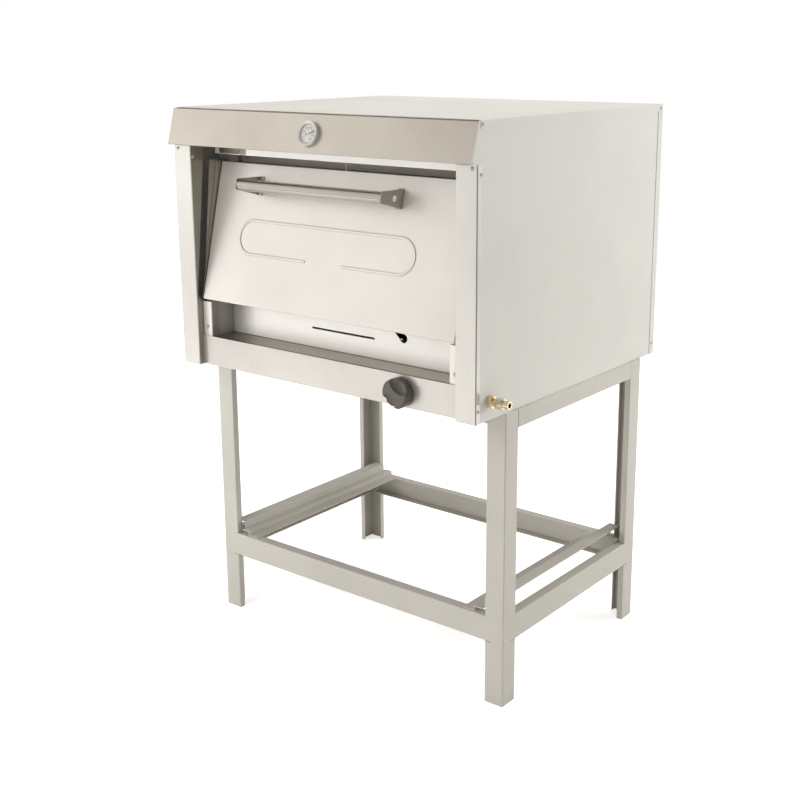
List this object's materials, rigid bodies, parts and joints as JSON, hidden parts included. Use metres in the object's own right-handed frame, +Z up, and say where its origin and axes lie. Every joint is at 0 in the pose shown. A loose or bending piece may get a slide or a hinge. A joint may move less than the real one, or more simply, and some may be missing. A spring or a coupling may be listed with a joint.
{
  "type": "deck oven",
  "caption": "Single-deck gas bakery oven on an open sheet-metal stand with tray runners; leaning drop-down door, hood thermometer and one gas knob.",
  "frame": {"origin": "on the floor, under the middle of the whole bounding box (stand, cabinet and gas inlet)", "axes": "+Z up, +X to the right seen from the front, front and door towards -Y"},
  "size_m": [0.9004, 0.7762, 1.263],
  "materials": {
    "stainless": "satin",
    "painted_side": "satin",
    "painted_stand": "satin",
    "inner_steel": "satin",
    "stone": "rough fired clay",
    "wool": "mineral wool",
    "brass": "satin",
    "plated": "zinc plated",
    "knob_plastic": "moulded",
    "dial_white": "matt",
    "glass": "clear",
    "needle_black": "matt"
  },
  "bodies": {
    "oven": {"back_panel": "painted_side", "bottom_panel": "inner_steel", "burner_cover": "inner_steel", "burner_tube": "inner_steel", "case_screws": "plated", "chamber_back": "inner_steel", "chamber_ceiling": "inner_steel", "chamber_wall_left": "inner_steel", "chamber_wall_right": "inner_steel", "control_panel": "stainless", "deck_rails": "inner_steel", "deck_stones": "stone", "front_header": "stainless", "front_post_left": "stainless", "front_post_right": "stainless", "gas_inlet": "brass", "gas_pipe": "plated", "gas_valve": "brass", "header_clip": "stainless", "hinge_pins": "plated", "hood_fascia": "stainless", "insulation_top": "wool", "insulation_walls": "wool", "jamb_left": "inner_steel", "jamb_right": "inner_steel", "ledge_tray": "inner_steel", "leg_back_left": "painted_stand", "leg_back_right": "painted_stand", "leg_front_left": "painted_stand", "leg_front_right": "painted_stand", "lower_jamb_left": "stainless", "lower_jamb_right": "stainless", "lower_rail_back": "painted_stand", "lower_rail_front": "painted_stand", "lower_rail_left": "painted_stand", "lower_rail_right": "painted_stand", "mouth_frame": "inner_steel", "side_panel_left": "painted_side", "side_panel_right": "painted_side", "thermometer_case": "stainless", "thermometer_dial": "dial_white", "thermometer_glass": "glass", "thermometer_stem": "plated", "top_cover": "painted_side", "top_rail_back": "painted_stand", "top_rail_front": "painted_stand", "top_rail_left": "painted_stand", "top_rail_right": "painted_stand", "tray_runner_left": "painted_stand", "tray_runner_right": "painted_stand"},
    "door": {"door_panel": "stainless", "door_liner": "inner_steel", "door_insulation": "wool", "handle_tube": "stainless", "handle_bracket_left": "stainless", "handle_bracket_right": "stainless", "door_screws": "plated"},
    "valve_stem": {"valve_stem": "plated"},
    "knob": {"knob": "knob_plastic"},
    "needle": {"thermometer_needle": "needle_black"}
  },
  "joints": [
    {"name": "door_hinge", "type": "hinge", "parent": "oven", "child": "door", "pos_m": [-0.02282, -0.34, 0.83206], "axis": [1, 0, 0], "range_deg": [0, 103]},
    {"name": "tap_turn", "type": "hinge", "parent": "oven", "child": "valve_stem", "pos_m": [0.20218, -0.3443, 0.698], "axis": [0, -1, 0], "range_deg": [0, 180]},
    {"name": "knob_push", "type": "slide", "parent": "valve_stem", "child": "knob", "axis": [0, 1, 0], "range_m": [0, 0.004], "stiffness_N_per_m": 300, "springref_m": -0.002},
    {"name": "needle_turn", "type": "hinge", "parent": "oven", "child": "needle", "pos_m": [-0.01882, -0.37248, 1.22034], "axis": [0, 0.9642, -0.2652], "range_deg": [-200, 70], "stiffness_Nm_per_rad": 0.001}
  ]
}
